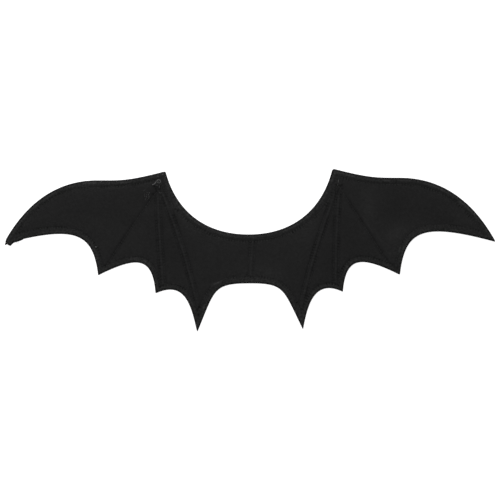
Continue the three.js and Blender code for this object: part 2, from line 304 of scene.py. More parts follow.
# Thread ends of the tuft at the left shoulder: thickness at both ends as a share of loose thread,
# then the places that each one passes, in millimetres.
TUFT = (
    (
        (1.5, 1.4),
        ((-95, 63.6), (-94.2, 64.1), (-92.4, 65.8), (-91.4, 67.6), (-89.6, 69.1), (-88.2, 68.6)),
    ),
    (
        (1.3, 0.8),
        ((-88.2, 68.6), (-87, 66.9), (-88.4, 65.4), (-90.3, 65.9), (-90.8, 67.2), (-89.7, 68.4)),
    ),
    ((2.6, 2.2), ((-95.2, 63.8), (-94.4, 64.2))),
    ((2, 1.8), ((-92.7, 65.6), (-91.9, 66.4))),
    ((0.4, 0.3), ((-91.3, 67.4), (-90, 66.5), (-88.2, 67.3))),
    ((0.3, 0.4), ((-90.4, 68.6), (-89.5, 67.3), (-89.3, 65.6))),
    ((0.6, 0.9), ((-93.4, 64), (-92.2, 64.9), (-91.6, 66.2))),
    ((1, 0.8), ((-88.5, 63.4), (-88.3, 62.3), (-88.5, 61.2))),
    ((0.7, 0.7), ((-91.2, 63.4), (-90.4, 63.2))),
    ((0.8, 1), ((-85.7, 73.4), (-85, 74.3), (-84.4, 74.8))),
    ((0.7, 0.6), ((-90, 72.2), (-89.4, 71.7))),
    ((0.7, 0.9), ((-98.6, 56.4), (-98, 55.8))),
    ((0.4, 0.7), ((-89, 56.2), (-87, 55.9), (-86.3, 56.1))),
)

# Thread ends at the right shoulder: places in millimetres.
TICKS = (
    ((87.2, 66.2), (87.1, 67.6), (87.3, 69)),
    ((86, 63.5), (86.6, 64.1)),
)

# The faint curl on the left wing: places in millimetres.
FAINT_CURL = (
    ((-104.2, 57.6), (-103, 58.6), (-101.8, 58.8)),
    ((-102.8, 55.4), (-103.4, 53.4), (-102.6, 51.8)),
    ((-101.4, 56.6), (-99.8, 56.2), (-98.8, 54.2), (-98.8, 51.6), (-100.2, 49.4)),
    ((-102.4, 49.4), (-101.4, 51.4), (-100.6, 53.6), (-100.8, 54.8)),
    ((-98.4, 53), (-98.2, 51), (-98.8, 49.8)),
)

# Specks of lint: place and size in millimetres, number of fibres.
LINT = (
    (-150.65, 3, 0.75, 16),
    (-98.2, 56, 0.3, 9),
)


class BATWINGS_PG_pattern(bpy.types.PropertyGroup):
    """Sizes of the paper pattern."""

    wing_span: bpy.props.FloatProperty(
        name="Wing Span",
        description="Distance between the two wing tips",
        default=0.4825,
        min=0.2,
        unit="LENGTH",
    )
    tip_drop: bpy.props.FloatProperty(
        name="Tip Drop",
        description="Drop from the higher shoulder to the wing tips",
        default=0.072,
        unit="LENGTH",
    )
    crest_spread: bpy.props.FloatProperty(
        name="Crest Spread",
        description="Distance between the highest places of the two top edges",
        default=0.2973,
        unit="LENGTH",
    )
    crest_drop: bpy.props.FloatProperty(
        name="Crest Drop",
        description="Drop from the higher shoulder to the crests",
        default=0.0103,
        unit="LENGTH",
    )
    shoulder_spread: bpy.props.FloatProperty(
        name="Shoulder Spread",
        description="Distance between the two shoulder points",
        default=0.1643,
        unit="LENGTH",
    )
    shoulder_difference: bpy.props.FloatProperty(
        name="Shoulder Difference",
        description="How much lower the left shoulder is",
        default=0.0021,
        unit="LENGTH",
    )
    neck_depth: bpy.props.FloatProperty(
        name="Neck Depth",
        description="Depth of the neck hollow",
        default=0.0647,
        unit="LENGTH",
    )
    hem_drop: bpy.props.FloatProperty(
        name="Hem Drop",
        description="Drop to the highest place of the middle hem",
        default=0.1118,
        unit="LENGTH",
    )
    inner_spread: bpy.props.FloatProperty(
        name="Inner Spread",
        description="Distance between the two inner spikes",
        default=0.1028,
        unit="LENGTH",
    )
    inner_drop: bpy.props.FloatProperty(
        name="Inner Drop",
        description="Drop to the inner spikes",
        default=0.158,
        unit="LENGTH",
    )
    middle_spread: bpy.props.FloatProperty(
        name="Middle Spread",
        description="Distance between the two middle spikes",
        default=0.1835,
        unit="LENGTH",
    )
    middle_drop: bpy.props.FloatProperty(
        name="Middle Drop",
        description="Drop to the middle spikes",
        default=0.1212,
        unit="LENGTH",
    )
    outer_spread: bpy.props.FloatProperty(
        name="Outer Spread",
        description="Distance between the two outer spikes",
        default=0.2959,
        unit="LENGTH",
    )
    outer_drop: bpy.props.FloatProperty(
        name="Outer Drop",
        description="Drop to the outer spikes",
        default=0.1038,
        unit="LENGTH",
    )
    hub_spread: bpy.props.FloatProperty(
        name="Hub Spread",
        description="Distance between the two hubs where the ribs start",
        default=0.1754,
        unit="LENGTH",
    )
    hub_drop: bpy.props.FloatProperty(
        name="Hub Drop",
        description="Drop to the hubs",
        default=0.017,
        unit="LENGTH",
    )
    corner_cut: bpy.props.FloatProperty(
        name="Corner Cut",
        description="Length of edge that each sewn corner rounds off",
        default=0.0008,
        unit="LENGTH",
    )
    shoulder_cut: bpy.props.FloatProperty(
        name="Shoulder Cut",
        description="Length of edge that each of the two shoulder corners rounds off",
        default=0.0018,
        unit="LENGTH",
    )
    centre_lean: bpy.props.FloatProperty(
        name="Centre Lean",
        description="How far the centre channel's top stands to the right of the neck point",
        default=0.0042,
        unit="LENGTH",
    )
    centre_step: bpy.props.FloatProperty(
        name="Centre Step",
        description="How far the centre channel's foot stands to the right of the hem point",
        default=0.0006,
        unit="LENGTH",
    )


class BATWINGS_PG_cloth(bpy.types.PropertyGroup):
    """Felt, seams and fastener patches."""

    felt: bpy.props.FloatProperty(
        name="Felt",
        description="Thickness of one felt layer",
        default=0.0012,
        min=0.0005,
        unit="LENGTH",
    )
    layer_gap: bpy.props.FloatProperty(
        name="Layer Gap",
        description="Space left between pieces that lie on each other",
        default=0.0003,
        unit="LENGTH",
    )
    margin: bpy.props.FloatProperty(
        name="Topstitch Margin",
        description="Distance from the edge to the topstitch",
        default=0.0054,
        unit="LENGTH",
    )
    rib_width: bpy.props.FloatProperty(
        name="Rib Width",
        description="Distance between the two stitch rows of a channel",
        default=0.005,
        unit="LENGTH",
    )
    band_puff: bpy.props.FloatProperty(
        name="Band Puff",
        description="Height of the rolled band between edge and topstitch",
        default=0.00055,
        unit="LENGTH",
    )
    rib_puff: bpy.props.FloatProperty(
        name="Rib Puff",
        description="Height of a channel's ridge over its stitch rows",
        default=0.0008,
        unit="LENGTH",
    )
    field_puff: bpy.props.FloatProperty(
        name="Field Puff",
        description="Height of the field over its stitch rows",
        default=0.0013,
        unit="LENGTH",
    )
    wrinkle: bpy.props.FloatProperty(
        name="Wrinkle",
        description="Height of the soft wrinkles in the field",
        default=0.00028,
        unit="LENGTH",
    )
    groove: bpy.props.FloatProperty(
        name="Groove",
        description="How deep a stitch row is pulled into the felt",
        default=0.0003,
        unit="LENGTH",
    )
    edge_round: bpy.props.FloatProperty(
        name="Edge Round",
        description="Radius of the turned edge",
        default=0.0014,
        unit="LENGTH",
    )
    patch_side: bpy.props.FloatProperty(
        name="Patch Side",
        description="Side of a fastener patch",
        default=0.02,
        unit="LENGTH",
    )
    patch_thickness: bpy.props.FloatProperty(
        name="Patch Thickness",
        description="Thickness of a fastener patch with its hooks",
        default=0.0015,
        unit="LENGTH",
    )
    patch_outset: bpy.props.FloatProperty(
        name="Patch Outset",
        description="How far a patch stands outside its hub",
        default=0.008,
        unit="LENGTH",
    )
    patch_below_hub: bpy.props.FloatProperty(
        name="Patch Below Hub",
        description="How far a patch stands below its hub",
        default=0.009,
        unit="LENGTH",
    )
    drape_edge: bpy.props.FloatProperty(
        name="Drape Edge",
        description="Width round a patch over which the felt stays fully lifted",
        default=0.004,
        unit="LENGTH",
    )
    drape_run: bpy.props.FloatProperty(
        name="Drape Run",
        description="Width over which the lifted felt comes down to the table",
        default=0.022,
        unit="LENGTH",
    )
    felt_colour: bpy.props.FloatVectorProperty(
        name="Felt Colour",
        description="Colour of the felt",
        default=(0.0145, 0.0145, 0.0145),
        subtype="COLOR",
        min=0,
        max=1,
    )
    tape_colour: bpy.props.FloatVectorProperty(
        name="Tape Colour",
        description="Colour of the fastener patches",
        default=(0.0103, 0.0103, 0.0103),
        subtype="COLOR",
        min=0,
        max=1,
    )


class BATWINGS_PG_thread(bpy.types.PropertyGroup):
    """Stitches, loose threads and fibres."""

    stitch: bpy.props.FloatProperty(
        name="Stitch Length",
        description="Distance between two needle holes",
        default=0.0028,
        min=0.001,
        unit="LENGTH",
    )
    radius: bpy.props.FloatProperty(
        name="Thread Radius",
        description="Half the thickness of the sewing thread",
        default=0.00019,
        unit="LENGTH",
    )
    colour: bpy.props.FloatVectorProperty(
        name="Thread Colour",
        description="Colour of the sewing thread",
        default=(0.012, 0.012, 0.012),
        subtype="COLOR",
        min=0,
        max=1,
    )
    # The pale grey is the lint specks' own colour, and on the black loose thread ends it is a
    # painted highlight.
    loose_colour: bpy.props.FloatVectorProperty(
        name="Loose Thread Colour",
        description="Colour of the loose thread ends, dulled by lint",
        default=(0.1, 0.1, 0.1),
        subtype="COLOR",
        min=0,
        max=1,
    )
    fibre_length: bpy.props.FloatProperty(
        name="Fibre Length",
        description="Length of the fibres that stand off the felt",
        default=0.0011,
        unit="LENGTH",
    )
    edge_fibres: bpy.props.IntProperty(
        name="Edge Fibres",
        description="Number of fibres round the edge",
        default=2600,
        min=0,
    )
    field_fibres: bpy.props.IntProperty(
        name="Field Fibres",
        description="Number of fibres on the front",
        default=4200,
        min=0,
    )


class BATWINGS_PG_stage(bpy.types.PropertyGroup):
    """Table, light and camera."""

    picture_width: bpy.props.FloatProperty(
        name="Picture Width",
        description="Width of table that the picture shows",
        default=0.4904,
        unit="LENGTH",
    )
    camera_height: bpy.props.FloatProperty(
        name="Camera Height",
        description="Height of the camera over the wings",
        default=2.0,
        unit="LENGTH",
    )
    right_shift: bpy.props.FloatProperty(
        name="Right Shift",
        description="How far the camera stands to the right of the wings' middle",
        default=0.0004,
        unit="LENGTH",
    )
    down_shift: bpy.props.FloatProperty(
        name="Down Shift",
        description="How far the camera stands below the wings' middle",
        default=0.0,
        unit="LENGTH",
    )
    table_colour: bpy.props.FloatVectorProperty(
        name="Table Colour",
        description="Colour of the table",
        default=(0.86, 0.86, 0.86),
        subtype="COLOR",
        min=0,
        max=1,
    )
    table_glow: bpy.props.FloatProperty(
        name="Table Glow",
        description="Light that the table gives off, which keeps it free of shadows",
        default=0.75,
        min=0,
    )
    room_light: bpy.props.FloatProperty(
        name="Room Light",
        description="Strength of the light from all round",
        default=0.3,
        min=0,
    )
    key_light: bpy.props.FloatProperty(
        name="Key Light",
        description="Power of the large soft lamp beyond the neck",
        default=12.6,
        min=0,
        unit="POWER",
    )
    side_light: bpy.props.FloatProperty(
        name="Side Light",
        description="Power of the soft lamp high above the left wing",
        default=1.25,
        min=0,
        unit="POWER",
    )


GROUPS = {
    "batwings_pattern": BATWINGS_PG_pattern,
    "batwings_cloth": BATWINGS_PG_cloth,
    "batwings_thread": BATWINGS_PG_thread,
    "batwings_stage": BATWINGS_PG_stage,
}


def pattern_point(pattern, side, name):
    """A point of the pattern on one side, before the outline's middle becomes the origin."""
    spread, drop, left, right = POINTS[name]
    out_share, drop_share = left if side == "left" else right
    out = SIGN[side] * out_share * getattr(pattern, spread)
    return np.array([out, -drop_share * getattr(pattern, drop)])


def handles(side, start, end):
    """The handles that leave the start and arrive at the end of a stretch of the outline."""
    for key in ((start, end), (side, start, end)):
        if key in STRETCHES:
            return STRETCHES[key]
    for key in ((end, start), (side, end, start)):
        if key in STRETCHES:
            return STRETCHES[key][::-1]
    raise KeyError(f"no stretch runs from {start} to {end} on the {side}")


def stretch_line(pattern, side, start, end):
    """One curved stretch of the outline as a dense line."""
    leave, arrive = handles(side, start, end)
    first = pattern_point(pattern, side, start)
    last = pattern_point(pattern, side, end)
    reach = last - first
    second = first + np.array(leave) * reach
    third = last - np.array(arrive) * reach
    t = np.linspace(0, 1, 600)[:, None]
    line = (1 - t) ** 3 * first + 3 * (1 - t) ** 2 * t * second
    return line + 3 * (1 - t) * t**2 * third + t**3 * last


def walked(line):
    """Length walked along a line up to each of its points."""
    return np.r_[0, np.cumsum(np.linalg.norm(np.diff(line, axis=0), axis=1))]


def spaced(line, step, trim=0.0):
    """Evenly spaced points along a line, with both ends cut short by trim."""
    along = walked(line)
    count = max(1, round((along[-1] - 2 * trim) / step))
    places = np.linspace(trim, along[-1] - trim, count + 1)
    return np.column_stack([np.interp(places, along, line[:, axis]) for axis in (0, 1)])


def drawn_out(values, count):
    """Values that stand evenly along a line, drawn out over its points."""
    return np.interp(np.linspace(0, 1, count), np.linspace(0, 1, len(values)), values)


def offset_line(line, distance):
    """The line moved sideways, where positive is to its right-hand side."""
    along = np.gradient(line, axis=0)
    along /= np.linalg.norm(along, axis=1)[:, None]
    return line + np.reshape(distance, (-1, 1)) * np.column_stack([along[:, 1], -along[:, 0]])


def cross(a, b):
    """The flat cross product of two arrays of plane vectors."""
    return a[..., 0] * b[..., 1] - a[..., 1] * b[..., 0]


def first_crossing(line, following):
    """Where a line's last half is crossed by the first half of the one that follows it."""
    a = line[len(line) // 2 : -1, None]
    ab = line[len(line) // 2 + 1 :, None] - a
    c = following[None, : len(following) // 2]
    cd = following[None, 1 : len(following) // 2 + 1] - c
    turn = cross(ab, cd)
    turn[turn == 0] = 1e-30
    first = cross(c - a, cd) / turn
    second = cross(c - a, ab) / turn
    found = np.argwhere((first >= 0) & (first <= 1) & (second >= 0) & (second <= 1))
    if not len(found):
        return len(line), 0, (line[-1] + following[0]) / 2
    last = found[found[:, 0] == found[:, 0].max()]
    i, j = last[0]
    point = a[i, 0] + first[i, j] * ab[i, 0]
    return len(line) // 2 + i + 1, j + 1, point


def trimmed_loop(lines):
    """The lines of a closed loop, each trimmed where it crosses the next one."""
    cuts = [first_crossing(line, lines[(k + 1) % len(lines)]) for k, line in enumerate(lines)]
    trimmed = []
    for k, line in enumerate(lines):
        _, start, before = cuts[k - 1]
        end, _, after = cuts[k]
        trimmed.append(np.vstack([before, line[start:end], after]))
    return trimmed


def bent_line(start, middle, end, step):
    """A line that leaves start towards middle and arrives at end from middle."""
    t = np.linspace(0, 1, 60)[:, None]
    line = (1 - t) ** 2 * start + 2 * (1 - t) * t * middle + t**2 * end
    return spaced(line, step)


def softened(line, rounds):
    """A line with its corners cut again and again, its ends kept."""
    for _ in range(rounds):
        a, b = line[:-1], line[1:]
        inner = np.stack([0.75 * a + 0.25 * b, 0.25 * a + 0.75 * b], axis=1).reshape(-1, 2)
        line = np.vstack([line[0], inner, line[-1]])
    return line


def meeting_point(line, following):
    """Where a line's end and the start of the next one would meet if both went straight on."""
    ahead = line[-1] - line[-2]
    back = following[0] - following[1]
    share = cross(following[0] - line[-1], back) / cross(ahead, back)
    return line[-1] + share * ahead


def outline_loop(pattern, runs, step):
    """The closed outline, clockwise, with rounded corners and a worn left tip."""
    tip = pattern_point(pattern, "left", "tip")
    worn = tip + MM * np.array(WORN_TIP)
    parts = []
    cuts = [
        pattern.shoulder_cut if stretches[0][1] == "shoulder" else pattern.corner_cut
        for *_, stretches in RUNS
    ]
    for k, line in enumerate(runs):
        line = spaced(line, SAMPLE)
        along = walked(line)
        kept = (along >= cuts[k]) & (along <= along[-1] - cuts[(k + 1) % len(cuts)])
        line = spaced(line[kept], step)
        if k == 0:
            line = line[line[:, 1] > worn[-1, 1] + 0.4 * step]
        else:
            corner = meeting_point(parts[-1], line)
            parts.append(bent_line(parts[-1][-1], corner, line[0], 0.3 * MM)[1:-1])
        if k == len(runs) - 1:
            line = line[line[:, 0] > worn[0, 0] + 0.4 * step]
        parts.append(line)
    parts.append(spaced(softened(worn, 2), 0.4 * MM))
    return np.vstack(parts)


def inside(points, loop):
    """Which points lie inside a closed loop."""
    found = np.zeros(len(points), dtype=bool)
    x, y = points[:, 0], points[:, 1]
    for a, b in zip(loop, np.roll(loop, -1, axis=0)):
        if a[1] != b[1]:
            between = (a[1] > y) != (b[1] > y)
            found ^= between & (x < a[0] + (y - a[1]) / (b[1] - a[1]) * (b[0] - a[0]))
    return found


def tree_of(points):
    """A search tree over flat points."""
    tree = KDTree(len(points))
    for number, (x, y) in enumerate(points):
        tree.insert((x, y, 0), number)
    tree.balance()
    return tree


def nearest(tree, points):
    """Number of the nearest point in the tree and its distance, for each of the points."""
    found = [tree.find((x, y, 0))[1:] for x, y in points]
    return np.array([f[0] for f in found]), np.array([f[1] for f in found])


def from_hole(line, scene):
    """Distance along a seam from each of its points to the nearest needle hole."""
    along = walked(line)
    step = along[-1] / max(1, round(along[-1] / scene.batwings_thread.stitch))
    return step * np.abs(along / step - np.round(along / step))


def lay_out(scene):
    """Every line of the pattern, moved so that the middle of the outline's box is the origin."""
    pattern = scene.batwings_pattern
    cloth = scene.batwings_cloth
    runs = [np.vstack([stretch_line(pattern, *s) for s in stretches]) for *_, stretches in RUNS]
    plain = [spaced(run, MM, pattern.corner_cut) for run in runs]
    rolled = []
    for run, (_, out, *_) in zip(runs, RUNS):
        line = spaced(run, MM)
        rolled.append(offset_line(line, -MM * drawn_out(out, len(line))))
    even = trimmed_loop([offset_line(line, cloth.margin) for line in plain])
    topstitch = []
    for line, (margins, *_) in zip(plain, RUNS):
        topstitch.append(offset_line(line, cloth.margin * drawn_out(margins, len(line))))
    topstitch = trimmed_loop(topstitch)
    stitched = np.vstack(topstitch)

    ridges, rows = [], []
    seam_kinds = [(pull, TOPSTITCH_GROOVE, crest) for _, _, pull, crest, _ in RUNS]
    for side, spike, start_share, end_share, bow, count in RIBS:
        towards_middle = np.array([-SIGN[side] * cloth.rib_width, 0])
        start = pattern_point(pattern, side, "hub") + start_share * towards_middle
        number = [stretches[0][:2] for *_, stretches in RUNS].index((side, spike))
        end = even[number][0] + end_share * towards_middle
        bend = (start + end) / 2
        bend[0] -= 2 * SIGN[side] * bow * np.linalg.norm(end - start)
        ridges.append((bent_line(start, bend, end, MM), count))
    top = pattern_point(pattern, "left", "neck") + (pattern.centre_lean, -cloth.margin)
    foot = pattern_point(pattern, "left", "hem") + (pattern.centre_step, cloth.margin)
    ridges.append((bent_line(top, (top + foot) / 2, foot, MM), 2))
    for ridge, count in ridges:
        hands = (0,) if count == 1 else (-0.5, 0.5)
        for hand in hands:
            row = offset_line(ridge, hand * cloth.rib_width)
            row = row[inside(row, stitched)]
            if len(row) > 2:
                rows.append(row)
                seam_kinds.append(SINGLE_ROW if count == 1 else CHANNEL_ROW)

    corners = np.vstack(plain)
    shift = -(corners.min(axis=0) + corners.max(axis=0)) / 2
    hubs = [pattern_point(pattern, side, "hub") for side in SIGN]
    outward = [(sign * cloth.patch_outset, -cloth.patch_below_hub) for sign in SIGN.values()]
    layout = SimpleNamespace(
        shift=shift,
        runs=[line + shift for line in plain],
        tip=pattern_point(pattern, "left", "tip") + shift,
        outline=outline_loop(pattern, rolled, 0.9 * MM) + shift,
        topstitch=[line + shift for line in topstitch],
        rows=[line + shift for line in rows],
        ridges=[ridge + shift for ridge, count in ridges if count == 2],
        patches=[hub + out + shift for hub, out in zip(hubs, outward)],
    )
    layout.stitched = np.vstack(layout.topstitch)
    closed = np.vstack([layout.outline, layout.outline[:1]])
    layout.edge_tree = tree_of(spaced(closed, SAMPLE))
    seams = [spaced(line, SAMPLE) for line in layout.topstitch + layout.rows]
    layout.seam_along = np.concatenate([walked(line) + k for k, line in enumerate(seams)])
    layout.from_hole = np.concatenate([from_hole(line, scene) for line in seams])
    ends = [np.minimum(walked(line), walked(line)[::-1]) for line in seams]
    layout.from_end = np.concatenate(ends)
    layout.pull, layout.groove_width, layout.crest = np.array(seam_kinds).T
    layout.seam_tree = tree_of(np.vstack(seams))
    layout.ridge_tree = tree_of(np.vstack([spaced(line, SAMPLE) for line in layout.ridges]))
    return layout


def drape(layout, cloth, points):
    """How far the felt is lifted where it lies over a patch."""
    away = np.full(len(points), 1.0)
    for centre in layout.patches:
        over = np.abs(points - centre) - cloth.patch_side / 2 - cloth.drape_edge
        away = np.minimum(away, np.linalg.norm(np.maximum(over, 0), axis=1))
    fall = np.clip(away / cloth.drape_run, 0, 1)
    return (cloth.patch_thickness + cloth.layer_gap) * (1 - fall * fall * (3 - 2 * fall))


def ripple(points, size, layer):
    """Soft noise over the pattern, about one wave for each size."""
    return np.array([noise.noise((x / size, y / size, layer)) for x, y in points])


def seam_noise(walk, line, size, layer):
    """Soft noise along the seams, about one wave for each size."""
    return np.array([noise.noise((s / size, k, layer)) for s, k in zip(walk, line)])


def front_surface(layout, cloth, points):
    """Heights of the front layer's top and underside, its tone with painted highlights and painted
    shade, and its fuzz at flat points.
    """
    _, edge = nearest(layout.edge_tree, points)
    number, seam = nearest(layout.seam_tree, points)
    line = layout.seam_along[number].astype(int)
    walk = layout.seam_along[number] % 1
    _, ridge = nearest(layout.ridge_tree, points)
    in_field = inside(points, layout.stitched)
    in_channel = in_field & (ridge < 0.5 * cloth.rib_width)

    uneven = seam_noise(walk, line, 11 * MM, 4.5)
    tight = 0.7 + 0.9 * np.exp(-layout.from_end[number] / (18 * MM))
    tight = np.where(line < len(RUNS), tight, 1)
    pull = layout.pull[line] * tight * (1 + 1.1 * uneven)
    deep = np.clip(0.8 + 1.8 * seam_noise(walk, line, 4.3 * MM, 9.5), 0.1, 1.7)
    hole = deep * np.exp(-((layout.from_hole[number] / (0.65 * MM)) ** 2))

    across = edge / np.maximum(edge + seam, 1e-9)
    width = np.clip((edge + seam) / cloth.margin, 0, 1.15)
    band = cloth.band_puff * width * 3.3 * across**0.75 * (1 - across)
    half = np.clip(seam / (0.5 * cloth.rib_width), 0, 1)
    channel = cloth.rib_puff * half * (2 - half) * (1 - 0.35 * hole)
    near = 0.2 * (1 - np.exp(-seam / (2 * MM)))
    far = 0.8 * (1 - np.exp(-seam / (13 * MM)))
    field = cloth.field_puff * (near + far)
    fade = 1 - np.exp(-seam / (6 * MM))
    for size, layer, share in WRINKLES:
        field += cloth.wrinkle * fade * share * ripple(points, size * MM, layer)
    for x, y, radius, height in SWELLS:
        away = np.linalg.norm(points - MM * np.array([x, y]), axis=1) / (radius * MM)
        field += height * MM * np.exp(-away * away) * fade
    relief = np.where(in_field, np.where(in_channel, channel, field), band)

    pucker = seam_noise(walk, line * 5 + seam / (5 * MM), 3.1 * MM, 1.5)
    relief += 0.22 * MM * pucker * np.exp(-seam / (2.8 * MM)) * (1 - np.exp(-seam / (0.6 * MM)))
    sunk = np.exp(-((seam / layout.groove_width[line]) ** 2))
    dip = cloth.groove * pull * (0.7 + 0.9 * hole) * sunk

    base = drape(layout, cloth, points) + cloth.felt + CLEARANCE
    turn = np.clip(edge / cloth.edge_round, 0, 1)
    turn = np.sqrt(1 - (1 - turn) ** 2)
    body = cloth.felt + np.maximum(relief - dip, -0.35 * cloth.felt)
    top = base + EDGE_LIP + turn * (body - EDGE_LIP)
    under = base + np.maximum(relief, 0) * turn * 0.96

    # Painted highlight along the rolled rim's crest, with painted shade on the outermost millimetre
    # of the edge.
    crest = layout.crest[line] * (1 + 1.2 * uneven)
    lit = np.exp(-(((edge - 2.6 * MM) / (0.95 * MM)) ** 2))
    crest *= lit - 0.6 * np.exp(-(((edge - 1.1 * MM) / (0.6 * MM)) ** 2))
    # Painted highlight along the top of each channel's ridge.
    ridge_highlight = half * half * (1 + 1.6 * ripple(points, 3.2 * MM, 21))
    tone = np.where(in_field, np.where(in_channel, ridge_highlight, 0), crest)
    # Painted highlights on the felt between needle holes beside every seam, painted shade in the
    # holes and painted shade down each pulled groove.
    beside = np.where(line < len(RUNS), 2.3, 1.3) * (1 + 1.2 * uneven)
    tone += beside * (0.34 - hole) * np.exp(-((seam / (1.3 * MM)) ** 2)) - 0.8 * pull * sunk
    # Painted highlights and painted shade at the listed spots where the cloth catches or loses
    # light, glints among them.
    painted_light = np.zeros(len(points))
    for x, y, long, wide, turned, strength in PAINTED_LIGHT:
        away = points - MM * np.array([x, y])
        cos, sin = math.cos(math.radians(turned)), math.sin(math.radians(turned))
        u = (cos * away[:, 0] + sin * away[:, 1]) / (long * MM)
        v = (cos * away[:, 1] - sin * away[:, 0]) / (wide * MM)
        painted_light += strength * np.exp(-u * u - v * v)
    fuzz = np.exp(-edge / FUZZ_REACH)
    matted = ripple(points, 2.1 * MM, 13) + 0.5 * ripple(points, 1.3 * MM, 17)
    tone += painted_light + 3.2 * matted * fuzz * (1 + np.clip(painted_light, 0, 1))
    return SimpleNamespace(top=top, under=under, tone=tone, fuzz=fuzz)


def back_surface(layout, cloth, points):
    """Heights of the back layer's top and underside, its tone of painted shade in the seam grooves
    and its fuzz at flat points.
    """
    _, edge = nearest(layout.edge_tree, points)
    _, seam = nearest(layout.seam_tree, points)
    lifted = drape(layout, cloth, points)
    dip = 1.2 * cloth.groove * np.exp(-((seam / (0.7 * MM)) ** 2))
    turn = np.clip(edge / cloth.edge_round, 0, 1)
    turn = 1 - np.sqrt(1 - (1 - turn) ** 2)
    under = lifted + dip + turn * 0.75 * cloth.felt
    top = lifted + cloth.felt
    # Painted shade down the stitch grooves.
    tone = -0.8 * np.exp(-((seam / (0.8 * MM)) ** 2))
    fuzz = np.exp(-edge / FUZZ_REACH)
    return SimpleNamespace(top=top, under=under, tone=tone, fuzz=fuzz)


def thinned(points, gap, kept_first):
    """The points in order, without those closer than gap to one before them."""
    cells, kept = {}, []
    for number, (x, y) in enumerate(points):
        cell = (int(x // gap), int(y // gap))
        close = False
        if number >= kept_first:
            for i in (-1, 0, 1):
                for j in (-1, 0, 1):
                    for u, v in cells.get((cell[0] + i, cell[1] + j), ()):
                        if (x - u) ** 2 + (y - v) ** 2 < gap * gap:
                            close = True
        if not close:
            cells.setdefault(cell, []).append((x, y))
            kept.append(number)
    return points[kept]


def cover_points(layout, step, seam_step, offsets):
    """The outline's points, rows beside it, points on the seams, then an even field."""
    rows = [layout.outline]
    for distance in offsets:
        moved = offset_line(np.vstack([layout.outline] * 2), distance)
        moved = moved[len(layout.outline) // 2 :][: len(layout.outline)]
        _, away = nearest(layout.edge_tree, moved)
        rows.append(moved[away > 0.93 * distance])
    for line in layout.topstitch + layout.rows:
        rows.append(spaced(line, seam_step))
    for line in layout.topstitch + layout.rows:
        for hand in (-0.6, 0.6):
            rows.append(spaced(offset_line(line, hand * seam_step), seam_step))
    for line in layout.ridges:
        rows.append(spaced(line, seam_step))
    low, high = layout.outline.min(axis=0), layout.outline.max(axis=0)
    across = np.arange(low[0], high[0], step)
    up = np.arange(low[1], high[1], step * math.sqrt(3) / 2)
    x, y = np.meshgrid(across, up)
    x[1::2] += step / 2
    rows.append(np.column_stack([x.ravel(), y.ravel()]))
    points = np.vstack(rows)
    first = len(layout.outline)
    keep = inside(points, layout.outline)
    keep[:first] = True
    points = points[keep]
    return thinned(points, 0.55 * min(step, seam_step), first)


def triangles_inside(points, rim):
    """Triangles over the points, inside the closed rim that the first points make."""
    edges = [(k, (k + 1) % rim) for k in range(rim)]
    flat = [Vector(point) for point in points.tolist()]
    placed, _, faces, origins, _, _ = delaunay_2d_cdt(flat, edges, [], 1, 1e-9)
    if len(placed) != len(points):
        raise RuntimeError(f"the felt's points changed from {len(points)} to {len(placed)}")
    return [[origins[corner][0] for corner in face] for face in faces]


def make_object(name, vertices, faces, material):
    """A mesh object that rides on the frame's one body."""
    mesh = bpy.data.meshes.new(name)
    mesh.from_pydata([tuple(v) for v in vertices], [], faces)
    mesh.validate()
    mesh.polygons.foreach_set("use_smooth", [True] * len(mesh.polygons))
    mesh.materials.append(material)
    mesh.update()
    made = bpy.data.objects.new(name, mesh)
    bpy.context.scene.collection.objects.link(made)
    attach(made, "root")
    return made


def felt_shell(name, top_points, top, under_points, under, rim, material):
    """A closed felt layer from its top and its underside, joined round the same rim."""
    over = len(top_points)
    vertices = np.vstack([
        np.column_stack([top_points, top.top]),
        np.column_stack([under_points, under.under]),
    ])
    faces = triangles_inside(top_points, rim)
    for a, b, c in triangles_inside(under_points, rim):
        faces.append([over + c, over + b, over + a])
    for k in range(rim):
        after = (k + 1) % rim
        faces.append([k, after, over + after, over + k])
    layer = make_object(name, vertices, faces, material)
    for look in ("tone", "fuzz"):
        values = np.concatenate([getattr(top, look), getattr(under, look)])
        attribute = layer.data.attributes.new(look, "FLOAT", "POINT")
        attribute.data.foreach_set("value", values.astype(np.float32))
    return layer


def tubes(paths, radii, sides):
    """Vertices and faces of many closed tubes, each along a path of points with its radii."""
    vertices, faces = [], []
    turn = np.linspace(0, 2 * math.pi, sides, endpoint=False)[None, :, None]
    for path, radius in zip(paths, radii):
        path = np.asarray(path, dtype=float)
        along = np.gradient(path, axis=0)
        along /= np.maximum(np.linalg.norm(along, axis=1), 1e-12)[:, None]
        side = np.cross(along, (0, 0, 1.0))
        flat = np.linalg.norm(side, axis=1) < 1e-6
        side[flat] = (1, 0, 0)
        side /= np.linalg.norm(side, axis=1)[:, None]
        up = np.cross(side, along)
        radius = np.broadcast_to(radius, len(path))[:, None, None]
        ring = np.cos(turn) * side[:, None] + np.sin(turn) * up[:, None]
        first = len(vertices)
        vertices.extend((path[:, None] + radius * ring).reshape(-1, 3).tolist())
        for k in range(len(path) - 1):
            for s in range(sides):
                t = (s + 1) % sides
                a, b = first + k * sides, first + (k + 1) * sides
                faces.append([a + s, b + s, b + t, a + t])
        faces.append([first + s for s in range(sides)])
        last = first + (len(path) - 1) * sides
        faces.append([last + s for s in reversed(range(sides))])
    return vertices, faces


